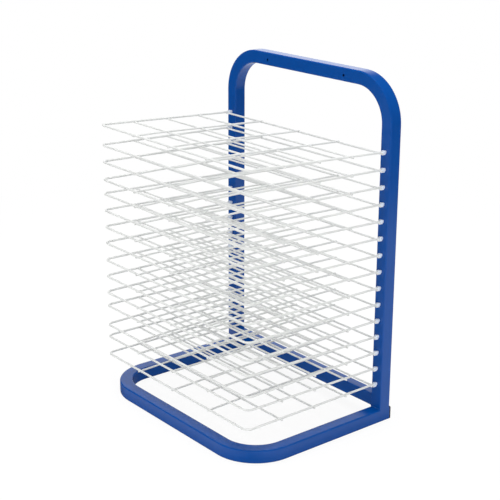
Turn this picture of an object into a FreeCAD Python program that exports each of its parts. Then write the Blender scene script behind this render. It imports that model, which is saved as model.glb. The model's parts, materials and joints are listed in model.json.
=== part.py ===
import FreeCAD, Part
import math
import os

# Table-top art drying rack for A3 sheets, in millimetres.
#
# A frame of bent square steel tube carries a stack of welded wire shelves. Each shelf turns
# about the wire along its back edge, which snaps into two moulded clips pushed into the
# uprights. +X is to the right, -Y is the front where sheets go in, +Z is up, and the origin
# is the centre of the footprint on the table.

# ---- Square tube of the frame ----
tube = 25.0
tube_wall = 1.5
tube_corner = 2.5
bend_radius = 75.0

# ---- Frame ----
frame_width = 460.0
frame_height = 650.0
front_reach = 316.0
cap_flange = 3.0

# ---- Rail between the feet of the uprights ----
rail_height = 25.0
rail_depth = 20.0
rail_wall = 1.5
rail_corner = 2.0
rail_setback = 2.5

# ---- Plastic plugs in the open ends of the base ----
cap_fit = 0.2
cap_plug_length = 12.0
cap_plug_wall = 1.8
cap_rib_rise = 0.15
cap_rib_width = 1.2
cap_rib_height = 10.0
cap_rib_spacing = 4.0

# ---- Wall screw holes in the top bar ----
wall_hole_radius = 2.75
wall_hole_spacing = 212.0
wall_hole_drop = 1.5

# ---- Stack of shelves ----
shelf_count = 15
shelf_pitch = 31.55
lowest_pivot = 74.0
shelf_depth = 299.0
rim_wire_radius = 2.0
pivot_wire_radius = 1.75
grid_wire_radius = 1.75
weld_sink = 1.9
rim_bend = 12.0
columns = 4
rows = 4
row_pitch = 76.2
cross_wire_overhang = 1.5
depth_wire_overhang = 0.3
depth_wire_seat = 0.6
pivot_wire_overhang = 0.3
dip_run = 8.0
dip_bend = 40.0
# How far each shelf settles nose-up from level, in degrees, from the top shelf down.
shelf_rise = (2.8, 1.55, 1.4, 0.9, 1.65, 1.45, 1.25, 1.2, 0.65, 0.35, 0.1, 0.9, -0.7, 0.7, -0.3)

# ---- Moulded hinge clip ----
pivot_reach = 10.0
clip_base = 1.0
clip_base_width = 4.6
clip_base_height = 5.2
clip_base_corner = 1.0
clip_base_edge = 0.2
clip_base_margin = 0.2
clip_stem_rise = 1.4
clip_hole_radius = 1.7
clip_stem_fit = 0.1
clip_barb_lip = 0.4
clip_barb_gap = 0.1
clip_barb_length = 5.0
clip_barb_tip = 0.7
clip_slit = 0.8
clip_eye_wall = 0.6
clip_eye_fit = 0.06
clip_mouth = 2.8
clip_cheek = 0.6
clip_web = 2.4
clip_side_gap = 0.15
clip_swing_gap = 0.25
clip_stop_gap = 0.3
clip_stop_thickness = 0.5
clip_stop_overlap = 2.0
clip_heel_setback = 1.7
clip_heel_drop = 2.9
clip_edge = 0.3

# ---- Places that follow from the sizes above ----
overall_depth = front_reach + tube + cap_flange
face_y = overall_depth / 2 - cap_flange - tube
upright_y = face_y + tube / 2
upright_x = frame_width / 2 - tube / 2
base_rear_y = face_y + tube
base_front_y = -overall_depth / 2 + tube / 2
rim_rise = pivot_wire_radius + rim_wire_radius - weld_sink
rim_top = rim_rise + rim_wire_radius
cross_rise = rim_rise - rim_wire_radius - grid_wire_radius + weld_sink
depth_rise = cross_rise + 2 * grid_wire_radius - weld_sink
pivot_y = face_y - pivot_reach
clip_root = pivot_reach - clip_base
clip_slot_end = clip_root - clip_web
tail_length = math.sqrt((clip_slot_end - clip_swing_gap) ** 2 - rim_top ** 2)
stop_rise = rim_top + clip_stop_gap
stop_front = tail_length - clip_stop_overlap
clip_slot_half = rim_wire_radius + clip_side_gap
clip_half_width = clip_slot_half + clip_cheek
clip_neck_half = clip_base_width / 2 - clip_base_margin
clip_eye_radius = pivot_wire_radius + clip_eye_fit
clip_eye_outer = clip_eye_radius + clip_eye_wall
pivot_wire_half = upright_x + clip_half_width + pivot_wire_overhang

same_place = 1e-6

X = FreeCAD.Vector(1, 0, 0)
Y = FreeCAD.Vector(0, 1, 0)
Z = FreeCAD.Vector(0, 0, 1)


def vec(x, y, z):
    return FreeCAD.Vector(x, y, z)


def box(low, high):
    """Block between two opposite corners."""
    size = high - low
    return Part.makeBox(size.x, size.y, size.z, low)


def rounded_path(points, radius):
    """Wire of straight runs through the points, joined by tangent arcs of one radius."""
    edges = []
    start = points[0]
    for before, corner, after in zip(points, points[1:], points[2:]):
        into = (before - corner).normalize()
        out = (after - corner).normalize()
        half_angle = into.getAngle(out) / 2
        trim = radius / math.tan(half_angle)
        arc_start = corner + into * trim
        arc_end = corner + out * trim
        middle = (into + out).normalize()
        arc_middle = corner + middle * (radius / math.sin(half_angle) - radius)
        edges.append(Part.LineSegment(start, arc_start).toShape())
        edges.append(Part.Arc(arc_start, arc_middle, arc_end).toShape())
        start = arc_end
    edges.append(Part.LineSegment(start, points[-1]).toShape())
    return Part.Wire(edges)


def sweep(path, profile):
    """Solid made by carrying a closed profile along a path."""
    return path.makePipeShell([profile], True, False)


def round_profile(centre, direction, radius):
    """Circle square to the direction."""
    return Part.Wire([Part.makeCircle(radius, centre, direction)])


def square_profile(centre, across, up, width, height, corner):
    """Rectangle with rounded corners, spanned by two unit directions."""
    half_w = width / 2
    half_h = height / 2
    inset = corner * (1 - math.sqrt(0.5))

    def place(u, v):
        return centre + across * u + up * v

    edges = []
    for turn in range(4):
        u_sign = (1, -1, -1, 1)[turn]
        v_sign = (1, 1, -1, -1)[turn]
        on_side = place(u_sign * half_w, v_sign * (half_h - corner))
        on_top = place(u_sign * (half_w - corner), v_sign * half_h)
        middle = place(u_sign * (half_w - inset), v_sign * (half_h - inset))
        first, last = (on_side, on_top) if turn % 2 == 0 else (on_top, on_side)
        if edges:
            edges.append(Part.LineSegment(edges[-1].Vertexes[-1].Point, first).toShape())
        edges.append(Part.Arc(first, middle, last).toShape())
    edges.append(Part.LineSegment(edges[-1].Vertexes[-1].Point, edges[0].Vertexes[0].Point).toShape())
    return Part.Wire(Part.__sortEdges__(edges))


def square_tube(points, across, up, width, height, wall, corner, radius):
    """Hollow tube with open ends along a rounded path; across and up span its first section."""
    path = rounded_path(points, radius) if len(points) > 2 else Part.Wire(
        [Part.LineSegment(points[0], points[1]).toShape()])
    outer = sweep(path, square_profile(points[0], across, up, width, height, corner))
    bore = square_profile(
        points[0], across, up, width - 2 * wall, height - 2 * wall, max(corner - wall, wall / 2))
    return outer.cut(sweep(path, bore))


def shelf_pivot_height(level):
    """Height of a shelf's pivot; level 0 is the top shelf."""
    return lowest_pivot + shelf_pitch * (shelf_count - 1 - level)


def base_path_points():
    """Centre line of the base, from the back left to the back right."""
    height = tube / 2
    return [
        vec(-upright_x, base_rear_y, height),
        vec(-upright_x, base_front_y, height),
        vec(upright_x, base_front_y, height),
        vec(upright_x, base_rear_y, height),
    ]


def build_upright_frame():
    """Inverted U, its feet cut to sit over the base, drilled for the clips and two wall screws."""
    foot = tube - tube_corner
    top = frame_height - tube / 2
    points = [
        vec(-upright_x, upright_y, foot),
        vec(-upright_x, upright_y, top),
        vec(upright_x, upright_y, top),
        vec(upright_x, upright_y, foot),
    ]
    frame = square_tube(points, X, Y, tube, tube, tube_wall, tube_corner, bend_radius)
    drills = []
    for side in (-1, 1):
        for level in range(shelf_count):
            height = shelf_pivot_height(level) + clip_stem_rise
            start = vec(side * upright_x, face_y - tube_wall, height)
            drills.append(Part.makeCylinder(clip_hole_radius, 4 * tube_wall, start, Y))
        start = vec(side * wall_hole_spacing / 2, face_y - tube, top - wall_hole_drop)
        drills.append(Part.makeCylinder(wall_hole_radius, 3 * tube, start, Y))
    base = base_path_points()
    base_block = sweep(
        rounded_path(base, bend_radius), square_profile(base[0], X, Z, tube, tube, tube_corner))
    return frame.cut(drills + [base_block])


def build_base_frame():
    """U that lies on the table, closed at the front and open at the back."""
    return square_tube(base_path_points(), X, Z, tube, tube, tube_wall, tube_corner, bend_radius)


def build_rear_rail():
    """Flat tube between the feet of the uprights, level with the top of the base."""
    centre_y = face_y + rail_setback + rail_depth / 2
    centre_z = tube + rail_height / 2
    reach = frame_width / 2 - tube
    points = [vec(-reach, centre_y, centre_z), vec(reach, centre_y, centre_z)]
    return square_tube(points, Y, Z, rail_depth, rail_height, rail_wall, rail_corner, 0)


def build_end_cap(side):
    """Plug with a flange that closes one open end of the base, gripped by two ribs a side."""
    mouth = vec(side * upright_x, base_rear_y, tube / 2)
    plug = tube - 2 * tube_wall - 2 * cap_fit
    hollow = plug - 2 * cap_plug_wall
    flange = Part.Face(square_profile(mouth, X, Z, tube, tube, tube_corner))
    outer = Part.Face(square_profile(mouth, X, Z, plug, plug, cap_plug_wall))
    inner = Part.Face(square_profile(mouth, X, Z, hollow, hollow, cap_plug_wall / 2))
    cap = flange.extrude(Y * cap_flange).fuse(outer.extrude(Y * -cap_plug_length))
    half = vec(plug / 2 + cap_rib_rise, cap_rib_width / 2, cap_rib_height / 2)
    for rib in (1, 2):
        centre = mouth - Y * (rib * cap_rib_spacing)
        cap = cap.fuse(box(centre - half, centre + half))
    return cap.cut(inner.extrude(Y * -2 * cap_plug_length)).removeSplitter()


def tangent_point(point, radius, side):
    """Where a line from a point in the YZ plane touches a circle round the origin."""
    distance = math.hypot(point.y, point.z)
    angle = math.atan2(point.z, point.y) + side * math.acos(radius / distance)
    return vec(point.x, radius * math.cos(angle), radius * math.sin(angle))


def build_clip_body():
    """Block with the outline of both cheeks: an eye at the pivot, a level roof, a slanted heel."""
    half_base = clip_base_height / 2 - clip_base_margin
    root = vec(-clip_half_width, clip_root, clip_stem_rise - half_base)
    heel = vec(-clip_half_width, clip_root - clip_heel_setback, -clip_heel_drop)
    chin = tangent_point(heel, clip_eye_outer, -1)
    nose = vec(-clip_half_width, -clip_eye_outer, 0)
    brow = vec(-clip_half_width, stop_front, stop_rise + clip_stop_thickness)
    crown = tangent_point(brow, clip_eye_outer, 1)
    crest = vec(-clip_half_width, clip_slot_end, brow.z)
    shoulder = vec(-clip_half_width, clip_root, clip_stem_rise + half_base)
    outline = Part.Wire([
        Part.LineSegment(root, heel).toShape(),
        Part.LineSegment(heel, chin).toShape(),
        Part.Arc(chin, nose, crown).toShape(),
        Part.LineSegment(crown, brow).toShape(),
        Part.LineSegment(brow, crest).toShape(),
        Part.LineSegment(crest, shoulder).toShape(),
        Part.LineSegment(shoulder, root).toShape(),
    ])
    block = Part.Face(outline).extrude(X * (2 * clip_half_width))
    rim = []
    for edge in block.Edges:
        bounds = edge.BoundBox
        on_side = bounds.XLength < same_place
        on_root = bounds.YMin > clip_root - same_place
        if on_side and not on_root:
            rim.append(edge)
    return block.makeFillet(clip_edge, rim)


def clip_side_relief(side):
    """Wedge that is cut off one side, so that the clip narrows from the slot's end to its base."""
    wide = side * clip_half_width
    clear = 2 * wide
    below = -2 * clip_heel_drop
    corners = [
        vec(wide, clip_slot_end, below),
        vec(clear, clip_slot_end, below),
        vec(clear, pivot_reach, below),
        vec(side * clip_neck_half, clip_root, below),
    ]
    return Part.Face(Part.makePolygon(corners + corners[:1])).extrude(Z * (2 * pivot_reach))


def build_clip_anchor(stem_line):
    """Split stem and barb that snap into the hole in the upright."""
    stem_radius = clip_hole_radius - clip_stem_fit
    barb_start = tube_wall + clip_barb_gap
    stem = Part.makeCylinder(stem_radius, barb_start, stem_line, Y)
    barb = Part.makeCone(
        clip_hole_radius + clip_barb_lip, clip_hole_radius - clip_barb_tip,
        clip_barb_length, stem_line + Y * barb_start, Y)
    slit = box(
        stem_line + vec(-2 * clip_hole_radius, tube_wall / 2, -clip_slit / 2),
        stem_line + vec(2 * clip_hole_radius, 2 * clip_barb_length, clip_slit / 2))
    return stem.fuse(barb).cut(slit)


def build_clip_base(stem_line):
    """Rounded plate that seats on the upright, with a softened front edge."""
    outline = square_profile(
        stem_line, X, Z, clip_base_width, clip_base_height, clip_base_corner)
    plate = Part.Face(outline).extrude(Y * -clip_base)
    rim = [edge for edge in plate.Edges if edge.BoundBox.YMax < clip_root + same_place]
    return plate.makeFillet(clip_base_edge, rim)


def build_clip():
    """One moulded clip, with the pivot line through the origin and the upright on its +Y side."""
    reach = 2 * clip_half_width
    front = -2 * clip_eye_outer
    bore = Part.makeCylinder(clip_eye_radius, 2 * reach, X * -reach, X)
    mouth = box(vec(-reach, front, -clip_mouth / 2), vec(reach, 0, clip_mouth / 2))
    slot = box(
        vec(-clip_slot_half, front, -2 * clip_eye_outer),
        vec(clip_slot_half, clip_slot_end, stop_rise))
    above = box(
        vec(-clip_slot_half, front, stop_rise),
        vec(clip_slot_half, stop_front, stop_rise + 2 * clip_stop_thickness))
    reliefs = [clip_side_relief(side) for side in (-1, 1)]
    body = build_clip_body().cut([bore, mouth, slot, above] + reliefs)
    stem_line = vec(0, pivot_reach, clip_stem_rise)
    return body.fuse([build_clip_base(stem_line), build_clip_anchor(stem_line)]).removeSplitter()


def build_hinge_clips(side):
    """The clips of one upright, one for each shelf."""
    master = build_clip()
    clips = []
    for level in range(shelf_count):
        clip = master.copy()
        clip.translate(vec(side * upright_x, pivot_y, shelf_pivot_height(level)))
        clips.append(clip)
    return Part.makeCompound(clips)


def build_pivot_wire():
    """Straight wire along the back of the shelf, on which it turns."""
    return Part.makeCylinder(pivot_wire_radius, 2 * pivot_wire_half, X * -pivot_wire_half, X)


def build_rim(pivot_wire):
    """Wire bent round the sides and front, welded over the pivot wire, with stop tails behind it."""
    points = [
        vec(-upright_x, tail_length, rim_rise),
        vec(-upright_x, -shelf_depth, rim_rise),
        vec(upright_x, -shelf_depth, rim_rise),
        vec(upright_x, tail_length, rim_rise),
    ]
    rim = sweep(rounded_path(points, rim_bend), round_profile(points[0], Y, rim_wire_radius))
    return rim.cut(pivot_wire)


def build_cross_wires(rim):
    """Wires from side to side, welded under the rim."""
    half = upright_x + rim_wire_radius + cross_wire_overhang
    wires = []
    for row in range(1, rows):
        start = vec(-half, -shelf_depth + row * row_pitch, cross_rise)
        wires.append(Part.makeCylinder(grid_wire_radius, 2 * half, start, X).cut(rim))
    return wires


def build_depth_wires(carriers):
    """Wires from the front, where they dip under the rim, to the back over the wires that carry them."""
    wires = []
    for column in range(1, columns):
        x = -upright_x + column * 2 * upright_x / columns
        points = [
            vec(x, -shelf_depth - rim_wire_radius - depth_wire_overhang, cross_rise),
            vec(x, -shelf_depth + dip_run, cross_rise),
            vec(x, -shelf_depth + row_pitch - dip_run, depth_rise),
            vec(x, depth_wire_seat, depth_rise),
        ]
        profile = round_profile(points[0], Y, grid_wire_radius)
        wires.append(sweep(rounded_path(points, dip_bend), profile).cut(carriers))
    return wires


def place_on_level(shape, level):
    """Copy of a shelf piece, turned to its own rest angle and set on its pivot."""
    piece = shape.copy()
    piece.rotate(vec(0, 0, 0), X, -shelf_rise[level])
    piece.translate(vec(0, pivot_y, shelf_pivot_height(level)))
    return piece


def build_shelves():
    """Every shelf as three nodes: rim, pivot wire and grid."""
    pivot_wire = build_pivot_wire()
    rim = build_rim(pivot_wire)
    cross_wires = build_cross_wires(rim)
    depth_wires = build_depth_wires([rim, pivot_wire] + cross_wires)
    masters = {
        "rim": rim,
        "pivot_wire": pivot_wire,
        "grid": Part.makeCompound(cross_wires + depth_wires),
    }
    nodes = {}
    for level in range(shelf_count):
        for piece, shape in masters.items():
            nodes[f"shelf_{level + 1:02d}_{piece}"] = place_on_level(shape, level)
    return nodes


def build_all():
    nodes = {
        "upright_frame": build_upright_frame(),
        "base_frame": build_base_frame(),
        "rear_rail": build_rear_rail(),
        "left_end_cap": build_end_cap(-1),
        "right_end_cap": build_end_cap(1),
        "left_hinge_clips": build_hinge_clips(-1),
        "right_hinge_clips": build_hinge_clips(1),
    }
    nodes.update(build_shelves())
    return nodes


os.makedirs("parts", exist_ok=True)
for name, shape in build_all().items():
    shape.exportStep(f"parts/{name}.step")
    print(f"{name}: {len(shape.Solids)} solid(s), {shape.Volume / 1000:.2f} cm3, valid {shape.isValid()}")
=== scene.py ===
"""Looks of a table-top art drying rack, built round its packed construction.

The tubes, wires, clips and caps are the frame's own nodes and only get their finishes here. New
pieces are the things a welder and a coating bath leave behind: fillet beads where the tubes meet,
fused knots where wires cross and rounded drops of coating on the wire ends.
"""
import json
import logging
import math
from dataclasses import dataclass, field
from enum import Enum

import bmesh
import bpy
from mathutils import Matrix, Vector


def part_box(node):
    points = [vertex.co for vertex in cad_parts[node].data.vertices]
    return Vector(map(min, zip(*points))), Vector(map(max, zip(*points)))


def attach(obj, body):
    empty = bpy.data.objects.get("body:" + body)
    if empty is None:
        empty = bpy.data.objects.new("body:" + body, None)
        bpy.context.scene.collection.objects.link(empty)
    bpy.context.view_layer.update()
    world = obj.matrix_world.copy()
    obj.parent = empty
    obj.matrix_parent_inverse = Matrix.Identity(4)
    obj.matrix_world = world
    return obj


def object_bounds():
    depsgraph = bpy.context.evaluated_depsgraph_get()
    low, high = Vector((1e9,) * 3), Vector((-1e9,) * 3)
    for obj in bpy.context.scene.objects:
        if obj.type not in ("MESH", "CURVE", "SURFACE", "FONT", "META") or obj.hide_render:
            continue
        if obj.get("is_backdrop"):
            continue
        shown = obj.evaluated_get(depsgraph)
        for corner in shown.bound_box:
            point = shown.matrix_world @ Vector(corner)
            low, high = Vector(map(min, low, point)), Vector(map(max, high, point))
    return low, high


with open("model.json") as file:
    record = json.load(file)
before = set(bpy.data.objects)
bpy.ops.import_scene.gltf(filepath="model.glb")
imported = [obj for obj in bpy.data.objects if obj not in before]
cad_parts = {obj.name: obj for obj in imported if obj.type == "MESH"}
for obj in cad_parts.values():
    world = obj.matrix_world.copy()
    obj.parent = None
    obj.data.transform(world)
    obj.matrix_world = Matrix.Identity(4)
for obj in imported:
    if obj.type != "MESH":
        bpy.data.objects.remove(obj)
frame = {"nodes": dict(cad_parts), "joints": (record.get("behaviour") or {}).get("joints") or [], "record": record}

LOG = logging.getLogger("drying_rack")
FRAME_BODY = "frame"
KNOT_SEGMENTS = 10
KNOT_RINGS = 6
MIX_FACTOR = 0
MIX_FIRST_COLOUR = 6
MIX_SECOND_COLOUR = 7
MIX_COLOUR_RESULT = 2
X_AXIS = Vector((1, 0, 0))
Y_AXIS = Vector((0, 1, 0))

Colour = tuple[float, float, float]
Place = tuple[float, float, float]
Number = float | int


class Slot(Enum):
    """Material slots of the record."""

    BLUE_TUBE = "blue_powder_coat"
    WHITE_WIRE = "white_coated_wire"
    WHITE_CLIP = "white_plastic"
    BLACK_CAP = "black_plastic"


class Ray(Enum):
    """Kinds of light ray that a material or the world can tell apart."""

    CAMERA = "Is Camera Ray"
    GLOSSY = "Is Glossy Ray"
    TRANSMISSION = "Is Transmission Ray"


# -------------------------------------------------------------------------------------------------
# Shader maths
# -------------------------------------------------------------------------------------------------


class Value:
    """Output socket of a shader node, with arithmetic that adds Math nodes."""

    def __init__(self, graph: "Graph", socket: bpy.types.NodeSocket) -> None:
        """Wraps a socket.

        Args:
            graph: The node graph that the socket belongs to.
            socket: The output socket.
        """
        self.graph = graph
        self.socket = socket

    def _math(self, operation: str, *terms: "Value | Number") -> "Value":
        """Adds a Math node and returns its result."""
        return self.graph.math(operation, *terms)

    def __add__(self, other: "Value | Number") -> "Value":
        """Sum."""
        return self._math("ADD", self, other)

    __radd__ = __add__

    def __sub__(self, other: "Value | Number") -> "Value":
        """Difference."""
        return self._math("SUBTRACT", self, other)

    def __rsub__(self, other: "Value | Number") -> "Value":
        """Reflected difference."""
        return self._math("SUBTRACT", other, self)

    def __mul__(self, other: "Value | Number") -> "Value":
        """Product."""
        return self._math("MULTIPLY", self, other)

    __rmul__ = __mul__

    def __truediv__(self, other: "Value | Number") -> "Value":
        """Quotient."""
        return self._math("DIVIDE", self, other)

    def magnitude(self) -> "Value":
        """This value without its sign."""
        return self._math("ABSOLUTE", self)

    def clamped(self) -> "Value":
        """Keeps this value between 0 and 1."""
        return self._math("MINIMUM", self._math("MAXIMUM", self, 0.0), 1.0)

    def ramped(self, start: float, end: float) -> "Value":
        """0 up to the start, 1 from the end on and straight in between; end < start falls."""
        return ((self - start) / (end - start)).clamped()


class Graph:
    """Node tree of a material or a world."""

    def __init__(self, tree: bpy.types.NodeTree) -> None:
        """Takes over a node tree and empties it.

        Args:
            tree: The tree to build in.
        """
        self.tree = tree
        self.tree.nodes.clear()

    def node(
        self,
        kind: str,
        settings: dict[str, object] | None = None,
        inputs: dict[str | int, object] | None = None,
    ) -> bpy.types.Node:
        """Adds one node.

        Args:
            kind: Blender's name of the node type.
            settings: Attributes that are set before the sockets.
            inputs: Values, wrapped sockets or plain sockets, by the input's name or place.

        Returns:
            The new node.
        """
        made = self.tree.nodes.new(kind)
        for name, setting in (settings or {}).items():
            setattr(made, name, setting)
        for key, given in (inputs or {}).items():
            socket = made.inputs[key]
            if isinstance(given, Value):
                self.tree.links.new(given.socket, socket)
            elif isinstance(given, bpy.types.NodeSocket):
                self.tree.links.new(given, socket)
            else:
                socket.default_value = given
        return made

    def value(self, node: bpy.types.Node, output: str | int = 0) -> Value:
        """Wraps one output of a node."""
        return Value(self, node.outputs[output])

    def math(self, operation: str, *terms: Value | Number) -> Value:
        """Adds a Math node for an operation on one to three terms."""
        inputs = dict(enumerate(terms))
        return self.value(self.node("ShaderNodeMath", {"operation": operation}, inputs))

    def mix(self, factor: Value | Number, first: object, second: object) -> Value:
        """Blends two colours.

        Args:
            factor: 0 gives the first colour and 1 the second.
            first: Colour or wrapped socket.
            second: Colour or wrapped socket.

        Returns:
            The blended colour.
        """
        inputs = {MIX_FACTOR: factor, MIX_FIRST_COLOUR: first, MIX_SECOND_COLOUR: second}
        made = self.node("ShaderNodeMix", {"data_type": "RGBA"}, inputs)
        return self.value(made, MIX_COLOUR_RESULT)

    def object_place(self) -> Value:
        """Place on the object, in metres."""
        return self.value(self.node("ShaderNodeTexCoord"), "Object")

    def noise(self, scale: float, detail: float = 2.0, roughness: float = 0.5) -> Value:
        """Cloudy pattern on the object, from 0 to 1.

        Args:
            scale: Number of features per metre.
            detail: How many finer layers are added.
            roughness: How strong the finer layers are.

        Returns:
            The pattern.
        """
        made = self.node(
            "ShaderNodeTexNoise",
            inputs={
                "Vector": self.object_place(),
                "Scale": scale,
                "Detail": detail,
                "Roughness": roughness,
            },
        )
        return self.value(made, "Fac")

    def any_ray(self, *kinds: Ray) -> Value:
        """Tells some kinds of ray from all others.

        Args:
            kinds: The kinds to pick out.

        Returns:
            1 for the named kinds and 0 for the rest.
        """
        path = self.node("ShaderNodeLightPath")
        total = self.value(path, kinds[0].value)
        for kind in kinds[1:]:
            total = total + self.value(path, kind.value)
        return total.clamped()


def opaque(colour: Colour) -> tuple[float, float, float, float]:
    """Colour with an alpha of 1."""
    return (*colour, 1.0)


# -------------------------------------------------------------------------------------------------
# Finishes
# -------------------------------------------------------------------------------------------------


@dataclass(frozen=True)
class CoatedFinish:
    """Paint, coating or moulded plastic: a colour, a gloss and the fine waves of its skin."""

    name: str
    colour: Colour
    shade: Colour
    cloud_scale: float
    cloud_strength: float
    roughness: float
    roughness_spread: float
    skin_scale: float
    skin_height: float
    ior: float = 1.45
    cloud_detail: float = 3.0
    gloss_ratio: float = 2.7
    gloss_detail: float = 2.0
    skin_detail: float = 1.5
    skin_blend: float = 0.4

    def material(self) -> bpy.types.Material:
        """Builds the finish.

        Returns:
            A material that reads only the place on the object.
        """
        made = bpy.data.materials.new(self.name)
        made.use_nodes = True
        made.diffuse_color = opaque(self.colour)
        graph = Graph(made.node_tree)
        clouds = graph.noise(self.cloud_scale, detail=self.cloud_detail)
        colour = graph.mix(clouds * self.cloud_strength, opaque(self.colour), opaque(self.shade))
        gloss = graph.noise(self.cloud_scale * self.gloss_ratio, detail=self.gloss_detail)
        roughness = self.roughness + (gloss - 0.5) * self.roughness_spread
        skin = graph.noise(self.skin_scale, detail=self.skin_detail, roughness=self.skin_blend)
        bump = graph.node(
            "ShaderNodeBump",
            inputs={"Strength": 1.0, "Distance": self.skin_height, "Height": skin},
        )
        surface = graph.node(
            "ShaderNodeBsdfPrincipled",
            inputs={
                "Base Color": colour,
                "Roughness": roughness,
                "IOR": self.ior,
                "Normal": bump.outputs["Normal"],
            },
        )
        graph.node("ShaderNodeOutputMaterial", inputs={"Surface": surface.outputs["BSDF"]})
        return made


@dataclass(frozen=True)
class Finishes:
    """The four finishes of the rack."""

    blue_tube: CoatedFinish = CoatedFinish(
        name="blue_powder_coat",
        colour=(0.0006, 0.063, 0.300),
        shade=(0.0006, 0.055, 0.275),
        cloud_scale=18.0,
        cloud_strength=0.5,
        roughness=0.22,
        roughness_spread=0.06,
        skin_scale=420.0,
        skin_height=0.00001,
        ior=1.38,
    )
    white_wire: CoatedFinish = CoatedFinish(
        name="white_wire_coating",
        colour=(0.68, 0.69, 0.68),
        shade=(0.63, 0.64, 0.63),
        cloud_scale=60.0,
        cloud_strength=0.6,
        roughness=0.38,
        roughness_spread=0.10,
        skin_scale=700.0,
        skin_height=0.00002,
    )
    white_clip: CoatedFinish = CoatedFinish(
        name="white_moulded_nylon",
        colour=(0.77, 0.84, 0.94),
        shade=(0.72, 0.79, 0.90),
        cloud_scale=90.0,
        cloud_strength=0.5,
        roughness=0.42,
        roughness_spread=0.08,
        skin_scale=1500.0,
        skin_height=0.000008,
    )
    black_cap: CoatedFinish = CoatedFinish(
        name="black_moulded_cap",
        colour=(0.012, 0.013, 0.018),
        shade=(0.020, 0.021, 0.026),
        cloud_scale=70.0,
        cloud_strength=0.6,
        roughness=0.48,
        roughness_spread=0.10,
        skin_scale=1800.0,
        skin_height=0.00001,
    )

    def materials(self) -> dict[Slot, bpy.types.Material]:
        """Builds every finish.

        Returns:
            The materials by the slot that they belong to.
        """
        return {
            Slot.BLUE_TUBE: self.blue_tube.material(),
            Slot.WHITE_WIRE: self.white_wire.material(),
            Slot.WHITE_CLIP: self.white_clip.material(),
            Slot.BLACK_CAP: self.black_cap.material(),
        }


def dress_nodes(materials: dict[Slot, bpy.types.Material]) -> None:
    """Gives every node of the frame the finish of its own slot.

    Args:
        materials: The finishes by slot.
    """
    slots = {part["node"]: Slot(part["material_slot"]) for part in frame["record"]["subparts"]}
    for name, node in frame["nodes"].items():
        for place in node.material_slots:
            place.material = materials[slots[name]]


# -------------------------------------------------------------------------------------------------
# Mesh tools
# -------------------------------------------------------------------------------------------------


def finish_piece(
    mesh: bmesh.types.BMesh, name: str, body: str, material: bpy.types.Material
) -> bpy.types.Object:
    """Turns a finished bmesh into a piece that rides on a body.

    Args:
        mesh: The shape in the row frame; it is freed.
        name: Name of the piece.
        body: Body that carries it.
        material: The finish.

    Returns:
        The new object.
    """
    bmesh.ops.recalc_face_normals(mesh, faces=mesh.faces)
    for face in mesh.faces:
        face.smooth = True
    data = bpy.data.meshes.new(name)
    mesh.to_mesh(data)
    mesh.free()
    data.materials.append(material)
    piece = bpy.data.objects.new(name, data)
    bpy.context.scene.collection.objects.link(piece)
    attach(piece, body)
    LOG.info("%s: %d faces on %s", name, len(data.polygons), body)
    return piece


def add_knot(mesh: bmesh.types.BMesh, place: Matrix, size: Vector) -> None:
    """Adds one small rounded lump.

    Args:
        mesh: The shape to add to.
        place: Where the lump sits and how it is turned.
        size: Its half sizes along its own axes.
    """
    matrix = place @ Matrix.Diagonal((*size, 1.0))
    bmesh.ops.create_uvsphere(
        mesh, u_segments=KNOT_SEGMENTS, v_segments=KNOT_RINGS, radius=1.0, matrix=matrix
    )


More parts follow.
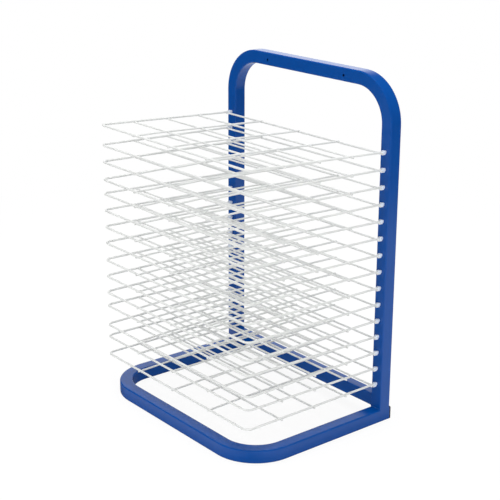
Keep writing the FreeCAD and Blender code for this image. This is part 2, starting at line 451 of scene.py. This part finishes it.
class BeadRun:
    """Weld bead laid along straight runs and turns, as a round section that swells in ripples."""

    section_sides = 12
    ripple_step = 0.0007
    ripple_length = 0.0021
    ripple_depth = 0.07
    fewest_steps = 2
    merge_distance = 0.00014

    def __init__(self, start: Vector, direction: Vector, radius: float) -> None:
        """Starts a bead.

        Args:
            start: Centre of its first section.
            direction: The way it runs.
            radius: Half its thickness.
        """
        self.mesh = bmesh.new()
        self.centre = start.copy()
        self.direction = direction.normalized()
        self.radius = radius
        self.travelled = 0.0
        turn = self.direction.to_track_quat("Z", "Y").to_matrix().to_4x4()
        made = bmesh.ops.create_circle(
            self.mesh,
            segments=self.section_sides,
            radius=radius,
            matrix=Matrix.Translation(start) @ turn,
        )
        self.ring = list({edge for vertex in made["verts"] for edge in vertex.link_edges})

    def _swell(self) -> float:
        """How much the section is widened here by the ripples."""
        return 1.0 + self.ripple_depth * math.sin(math.tau * self.travelled / self.ripple_length)

    def run(self, length: float) -> None:
        """Lays a straight stretch.

        Args:
            length: How far it goes.
        """
        steps = max(self.fewest_steps, round(length / self.ripple_step))
        step = length / steps
        before = self._swell()
        for _ in range(steps):
            made = bmesh.ops.extrude_edge_only(self.mesh, edges=self.ring)["geom"]
            verts = [item for item in made if isinstance(item, bmesh.types.BMVert)]
            self.ring = [item for item in made if isinstance(item, bmesh.types.BMEdge)]
            self.centre += self.direction * step
            self.travelled += step
            bmesh.ops.translate(self.mesh, verts=verts, vec=self.direction * step)
            now = self._swell()
            bmesh.ops.scale(
                self.mesh,
                verts=verts,
                vec=Vector((now / before,) * 3),
                space=Matrix.Translation(-self.centre),
            )
            before = now

    def turn(self, centre: Vector, axis: Vector, angle: float, steps: int) -> None:
        """Lays a round corner.

        Args:
            centre: Centre of the corner.
            axis: Axis that it turns about.
            angle: How far it turns, in radians.
            steps: Number of sections.
        """
        made = bmesh.ops.spin(
            self.mesh, geom=self.ring, cent=centre, axis=axis, angle=angle, steps=steps
        )
        self.ring = [item for item in made["geom_last"] if isinstance(item, bmesh.types.BMEdge)]
        rotation = Matrix.Rotation(angle, 3, axis)
        self.centre = centre + rotation @ (self.centre - centre)
        self.direction = rotation @ self.direction

    def close_ends(self) -> bmesh.types.BMesh:
        """Caps both ends.

        Returns:
            The finished shape.
        """
        edges = [edge for edge in self.mesh.edges if edge.is_boundary]
        bmesh.ops.holes_fill(self.mesh, edges=edges, sides=self.section_sides)
        return self.mesh

    def close_loop(self) -> bmesh.types.BMesh:
        """Joins the last section to the first.

        Returns:
            The finished shape.
        """
        bmesh.ops.remove_doubles(self.mesh, verts=self.mesh.verts, dist=self.merge_distance)
        return self.mesh


# -------------------------------------------------------------------------------------------------
# The rack
# -------------------------------------------------------------------------------------------------


@dataclass
class TubeFrame:
    """Welds of the bent tube frame."""

    bead_radius: float = 0.0021
    bead_inset: float = 0.00036
    tube_corner: float = 0.0025
    rail_corner: float = 0.002
    corner_steps: int = 5
    finish: Slot = Slot.BLUE_TUBE
    tube: float = field(init=False)

    def __post_init__(self) -> None:
        """Reads the tube's width from the base, which lies flat."""
        low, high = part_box("base_frame")
        self.tube = high.z - low.z

    def foot_beads(self, material: bpy.types.Material) -> None:
        """Lays a bead across the front and the back of each foot, on top of the base.

        Args:
            material: The finish of the tube.
        """
        low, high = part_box("upright_frame")
        inner = self.tube - self.tube_corner
        for side, sign in (("left", -1), ("right", 1)):
            outer_x = sign * (high.x - self.tube_corner)
            inner_x = sign * (high.x - inner)
            for end, y, out in (("front", low.y, -1), ("back", high.y, 1)):
                start = Vector((outer_x, y - out * self.bead_inset, self.tube))
                bead = BeadRun(start, Vector((inner_x - outer_x, 0, 0)), self.bead_radius)
                bead.run(abs(inner_x - outer_x))
                finish_piece(
                    bead.close_ends(), f"foot_weld_{side}_{end}", FRAME_BODY, material
                )

    def rail_beads(self, material: bpy.types.Material) -> None:
        """Lays a bead round each end of the rail between the uprights.

        Args:
            material: The finish of the tube.
        """
        low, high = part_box("rear_rail")
        corner = self.rail_corner
        for side, x in (("left", low.x), ("right", high.x)):
            start = Vector((x, low.y + corner, low.z))
            bead = BeadRun(start, Y_AXIS, self.bead_radius)
            corners = (
                (Vector((x, high.y - corner, low.z + corner)), high.y - low.y - 2 * corner),
                (Vector((x, high.y - corner, high.z - corner)), high.z - low.z - 2 * corner),
                (Vector((x, low.y + corner, high.z - corner)), high.y - low.y - 2 * corner),
                (Vector((x, low.y + corner, low.z + corner)), high.z - low.z - 2 * corner),
            )
            for centre, length in corners:
                bead.run(length)
                bead.turn(centre, X_AXIS, math.pi / 2, self.corner_steps)
            finish_piece(
                bead.close_loop(), f"rail_weld_{side}", FRAME_BODY, material
            )

    def build(self, materials: dict[Slot, bpy.types.Material]) -> None:
        """Adds every weld of the frame."""
        self.foot_beads(materials[self.finish])
        self.rail_beads(materials[self.finish])


@dataclass(frozen=True)
class WireEnd:
    """One end of a wire: its centre, the way it points, its radius and how far its drop bulges."""

    centre: Vector
    direction: Vector
    radius: float
    bulge: float


@dataclass
class WireShelf:
    """Fused knots and coated ends of one welded wire shelf."""

    number: int
    pivot: Vector
    rim_radius: float = 0.002
    pivot_radius: float = 0.00175
    grid_radius: float = 0.00175
    weld_sink: float = 0.0019
    cross_overhang: float = 0.0015
    depth_overhang: float = 0.0003
    depth_seat: float = 0.0006
    row_pitch: float = 0.0762
    columns: int = 4
    rows: int = 4
    knot_width: float = 0.0028
    knot_height: float = 0.0016
    tip_swell: float = 1.05
    open_bulge: float = 0.0009
    tight_bulge: float = 0.0003
    finish: Slot = Slot.WHITE_WIRE
    half_width: float = field(init=False)
    depth: float = field(init=False)
    tail: float = field(init=False)
    place: Matrix = field(init=False)

    @property
    def name(self) -> str:
        """Name of the shelf's body."""
        return f"shelf_{self.number:02d}"

    @property
    def rim_rise(self) -> float:
        """Height of the rim over the pivot wire."""
        return self.pivot_radius + self.rim_radius - self.weld_sink

    @property
    def cross_rise(self) -> float:
        """Height of the wires from side to side, which hang under the rim."""
        return self.rim_rise - self.rim_radius - self.grid_radius + self.weld_sink

    @property
    def depth_rise(self) -> float:
        """Height of the wires from front to back, which lie on those from side to side."""
        return self.cross_rise + 2 * self.grid_radius - self.weld_sink

    def __post_init__(self) -> None:
        """Reads the shelf's size and its rest angle from its rim."""
        low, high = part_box(f"{self.name}_rim")
        level = self.pivot.z + self.rim_rise
        nose_up = (low.z + high.z) / 2 > level
        front_z = high.z - self.rim_radius if nose_up else low.z + self.rim_radius
        self.half_width = high.x - self.rim_radius
        reach = self.pivot.y - low.y - self.rim_radius
        rise = math.atan2(front_z - level, reach)
        self.depth = reach / math.cos(rise) + self.rim_rise * math.tan(rise)
        last_corner = self.rim_rise + (self.rim_radius if nose_up else -self.rim_radius)
        self.tail = (high.y - self.pivot.y - last_corner * math.sin(rise)) / math.cos(rise)
        self.place = Matrix.Translation(self.pivot) @ Matrix.Rotation(-rise, 4, "X")

    def _columns(self) -> list[float]:
        """Places of the wires that run from front to back."""
        step = 2 * self.half_width / self.columns
        return [-self.half_width + step * number for number in range(1, self.columns)]

    def _rows(self) -> list[float]:
        """Places of the wires that run from side to side."""
        return [-self.depth + self.row_pitch * number for number in range(1, self.rows)]

    def knot_places(self) -> list[Vector]:
        """Finds where wires are welded.

        Returns:
            The points between two welded wires, in the shelf's own frame.
        """
        front = (self.cross_rise + self.rim_rise) / 2
        middle = (self.cross_rise + self.depth_rise) / 2
        back = self.depth_rise / 2
        knots = []
        for x in self._columns():
            knots.append(Vector((x, -self.depth, front)))
            knots += [Vector((x, y, middle)) for y in self._rows()]
            knots.append(Vector((x, 0, back)))
        for x in (-self.half_width, self.half_width):
            knots += [Vector((x, y, front)) for y in self._rows()]
        return knots

    def ends(self) -> list[WireEnd]:
        """Finds every end of every wire.

        Returns:
            The ends, in the shelf's own frame.
        """
        front = -self.depth - self.rim_radius - self.depth_overhang
        found = []
        for x in self._columns():
            nose = Vector((x, front, self.cross_rise))
            heel = Vector((x, self.depth_seat, self.depth_rise))
            found.append(WireEnd(nose, -Y_AXIS, self.grid_radius, self.tight_bulge))
            found.append(WireEnd(heel, Y_AXIS, self.grid_radius, self.tight_bulge))
        pivot_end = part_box(f"{self.name}_pivot_wire")[1].x
        for sign in (-1, 1):
            outward = sign * X_AXIS
            across = sign * (self.half_width + self.rim_radius + self.cross_overhang)
            for y in self._rows():
                tip = Vector((across, y, self.cross_rise))
                found.append(WireEnd(tip, outward, self.grid_radius, self.open_bulge))
            pin = Vector((sign * pivot_end, 0, 0))
            found.append(WireEnd(pin, outward, self.pivot_radius, self.open_bulge))
            tail = Vector((sign * self.half_width, self.tail, self.rim_rise))
            found.append(WireEnd(tail, Y_AXIS, self.rim_radius, self.tight_bulge))
        return found

    def build(self, materials: dict[Slot, bpy.types.Material]) -> None:
        """Adds the shelf's knots and the drops on its ends.

        Args:
            materials: The finishes by slot.
        """
        material = materials[self.finish]
        knots = bmesh.new()
        size = Vector((self.knot_width, self.knot_width, self.knot_height))
        for point in self.knot_places():
            add_knot(knots, self.place @ Matrix.Translation(point), size)
        finish_piece(knots, f"{self.name}_fused_knots", self.name, material)
        drops = bmesh.new()
        for end in self.ends():
            turn = end.direction.to_track_quat("Z", "Y").to_matrix().to_4x4()
            swollen = end.radius * self.tip_swell
            size = Vector((swollen, swollen, end.bulge))
            add_knot(drops, self.place @ Matrix.Translation(end.centre) @ turn, size)
        finish_piece(drops, f"{self.name}_coated_ends", self.name, material)


def build_shelves(materials: dict[Slot, bpy.types.Material]) -> None:
    """Adds the details of every shelf, from the top one down.

    Args:
        materials: The finishes by slot.
    """
    pivots = {joint["child"]: Vector(joint["pos_m"]) for joint in frame["joints"]}
    for number, body in enumerate(sorted(pivots), start=1):
        WireShelf(number, pivots[body]).build(materials)


# -------------------------------------------------------------------------------------------------
# Studio
# -------------------------------------------------------------------------------------------------


@dataclass(frozen=True)
class SoftBox:
    """Square lamp that looks at the middle of the rack and doesn't show in its gloss."""

    name: str
    place: Place
    size: float
    watts: float

    def build(self, target: Vector) -> None:
        """Hangs the lamp.

        Args:
            target: The point it looks at.
        """
        data = bpy.data.lights.new(self.name, "AREA")
        data.shape = "SQUARE"
        data.size = self.size
        data.energy = self.watts
        lamp = bpy.data.objects.new(self.name, data)
        lamp.location = self.place
        toward = target - Vector(self.place)
        lamp.rotation_euler = toward.to_track_quat("-Z", "Y").to_euler()
        lamp.visible_glossy = False
        bpy.context.scene.collection.objects.link(lamp)


@dataclass(frozen=True)
class Studio:
    """White table in a dark room with a window at the back left, and soft lamps."""

    footprint: Vector
    lamps: tuple[SoftBox, ...] = (
        SoftBox("top_softbox", (0.2, -0.2, 4.6), 3.6, 220.0),
        SoftBox("right_softbox", (1.8, -0.9, 0.4), 1.2, 9.0),
        SoftBox("front_softbox", (-0.6, -1.8, 0.2), 1.2, 10.0),
    )
    floor_radius: float = 4.0
    floor_sides: int = 96
    floor_colour: Colour = (0.92, 0.92, 0.92)
    floor_white: float = 0.90
    fade_start: float = 0.5
    fade_end: float = 1.6
    table_radius: float = 1.62
    table_edge: float = 0.12
    table_glow: float = 0.95
    table_shade: float = 0.06
    shade_start: float = -0.22
    shade_end: float = -0.45
    rack_shade: float = 0.20
    rack_shade_edge: float = 0.03
    window_direction: Place = (-0.74, 0.64, 0.05)
    window_start: float = 0.80
    window_end: float = 0.98
    window_glow: float = 1.5
    room_glow: float = 0.06
    horizon: float = -0.05
    world_fill: float = 0.45

    def build_floor(self) -> None:
        """Lays a round white floor that fades into the background."""
        mesh = bmesh.new()
        bmesh.ops.create_circle(
            mesh, cap_ends=True, segments=self.floor_sides, radius=self.floor_radius
        )
        data = bpy.data.meshes.new("floor")
        mesh.to_mesh(data)
        mesh.free()
        data.materials.append(self.floor_material())
        floor = bpy.data.objects.new("floor", data)
        bpy.context.scene.collection.objects.link(floor)
        floor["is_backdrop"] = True

    def floor_material(self) -> bpy.types.Material:
        """White floor: matt for light that falls on it, near white for what sees it.

        Reflections see it as a glowing table top with painted light on it: dimmer at the front left (painted
        shade) and under the rack (painted shadow), and it ends in the dark.

        Returns:
            The material.
        """
        made = bpy.data.materials.new("white_floor")
        made.use_nodes = True
        graph = Graph(made.node_tree)
        place = graph.object_place()
        from_centre = graph.value(
            graph.node("ShaderNodeVectorMath", {"operation": "LENGTH"}, {0: place}), "Value"
        )
        parts = graph.node("ShaderNodeSeparateXYZ", inputs={0: place})
        to_back_right = (graph.value(parts, "X") + graph.value(parts, "Y")) * math.sqrt(0.5)
        white = self.floor_white + from_centre.ramped(self.fade_start, self.fade_end) * (
            1.0 - self.floor_white
        )
        # Painted shade: the glow that reflections see falls off towards the front left.
        shade = to_back_right.ramped(self.shade_start, self.shade_end)
        on_table = from_centre.ramped(self.table_radius + self.table_edge, self.table_radius)
        # Painted shadow of the rack: the glow that reflections see is dimmed inside the rack's footprint.
        clear = 1.0 - self.under_rack(graph, parts) * (1.0 - self.rack_shade)
        lit = (self.table_glow - shade * (self.table_glow - self.table_shade)) * clear
        camera = graph.any_ray(Ray.CAMERA, Ray.TRANSMISSION)
        glossy = graph.any_ray(Ray.GLOSSY)
        matt = graph.node("ShaderNodeBsdfDiffuse", inputs={"Color": opaque(self.floor_colour)})
        glow = graph.node(
            "ShaderNodeEmission", inputs={"Strength": camera + glossy * on_table * lit}
        )
        mixed = graph.node(
            "ShaderNodeMixShader",
            inputs={
                0: camera * white + glossy,
                1: matt.outputs["BSDF"],
                2: glow.outputs["Emission"],
            },
        )
        graph.node("ShaderNodeOutputMaterial", inputs={"Surface": mixed.outputs["Shader"]})
        return made

    def under_rack(self, graph: Graph, place: bpy.types.Node) -> Value:
        """1 on the floor inside the footprint of the rack and 0 outside it; it marks where the rack's shadow is
        painted into the glow that reflections see.

        Args:
            graph: The floor's node graph.
            place: Node that gives the place on the floor by axis.

        Returns:
            The mask, with a soft edge.
        """
        high = self.footprint
        outside = (
            graph.value(place, axis).magnitude() - half
            for axis, half in (("X", high.x), ("Y", high.y))
        )
        farthest = graph.math("MAXIMUM", *outside)
        return farthest.ramped(self.rack_shade_edge, 0.0)

    def build_world(self) -> None:
        """Surrounds the rack with a white background and soft light.

        Reflections see a dim room with one bright window at the back left.
        """
        world = bpy.data.worlds.new("white_studio")
        bpy.context.scene.world = world
        world.use_nodes = True
        graph = Graph(world.node_tree)
        direction = graph.value(graph.node("ShaderNodeTexCoord"), "Generated")
        toward_window = graph.value(
            graph.node(
                "ShaderNodeVectorMath",
                {"operation": "DOT_PRODUCT"},
                {0: direction, 1: Vector(self.window_direction).normalized()},
            ),
            "Value",
        )
        parts = graph.node("ShaderNodeSeparateXYZ", inputs={0: direction})
        above_floor = graph.value(parts, "Z").ramped(self.horizon, 0.0)
        window = toward_window.ramped(self.window_start, self.window_end) * self.window_glow
        seen_by_gloss = (window + self.room_glow) * above_floor
        camera = graph.any_ray(Ray.CAMERA, Ray.TRANSMISSION)
        glossy = graph.any_ray(Ray.GLOSSY)
        other = 1.0 - (camera + glossy).clamped()
        strength = camera + glossy * seen_by_gloss + other * self.world_fill
        light = graph.node(
            "ShaderNodeBackground", inputs={"Color": opaque((1.0, 1.0, 1.0)), "Strength": strength}
        )
        graph.node("ShaderNodeOutputWorld", inputs={"Surface": light.outputs["Background"]})

    def build(self, target: Vector) -> None:
        """Sets up floor, world and lamps.

        Args:
            target: The point the lamps look at.
        """
        self.build_floor()
        self.build_world()
        for lamp in self.lamps:
            lamp.build(target)
        bpy.context.scene.view_settings.view_transform = "Standard"


@dataclass(frozen=True)
class ProductCamera:
    """Camera that looks down on the rack from its front right."""

    eye: Place = (1.6857, -1.3493, 1.0238)
    azimuth_deg: float = 50.98
    elevation_deg: float = 18.29
    roll_deg: float = 0.21
    sensor_mm: float = 36.0
    frame_px: int = 500
    focal_px: float = 1222.3

    def build(self) -> None:
        """Creates the camera and makes it the scene's own."""
        data = bpy.data.cameras.new("product_camera")
        data.sensor_width = self.sensor_mm
        data.lens = self.focal_px * self.sensor_mm / self.frame_px
        camera = bpy.data.objects.new("product_camera", data)
        pan = Matrix.Rotation(math.radians(self.azimuth_deg), 4, "Z")
        tilt = Matrix.Rotation(math.radians(90.0 - self.elevation_deg), 4, "X")
        roll = Matrix.Rotation(math.radians(self.roll_deg), 4, "Z")
        camera.matrix_world = Matrix.Translation(self.eye) @ pan @ tilt @ roll
        bpy.context.scene.collection.objects.link(camera)
        bpy.context.scene.camera = camera


def main() -> None:
    """Builds the rack's looks, the studio and the camera."""
    logging.basicConfig(level=logging.INFO, format="%(name)s: %(message)s")
    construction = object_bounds()
    materials = Finishes().materials()
    dress_nodes(materials)
    TubeFrame().build(materials)
    build_shelves(materials)
    Studio(footprint=construction[1]).build((construction[0] + construction[1]) / 2)
    ProductCamera().build()


if __name__ == "__main__":
    main()
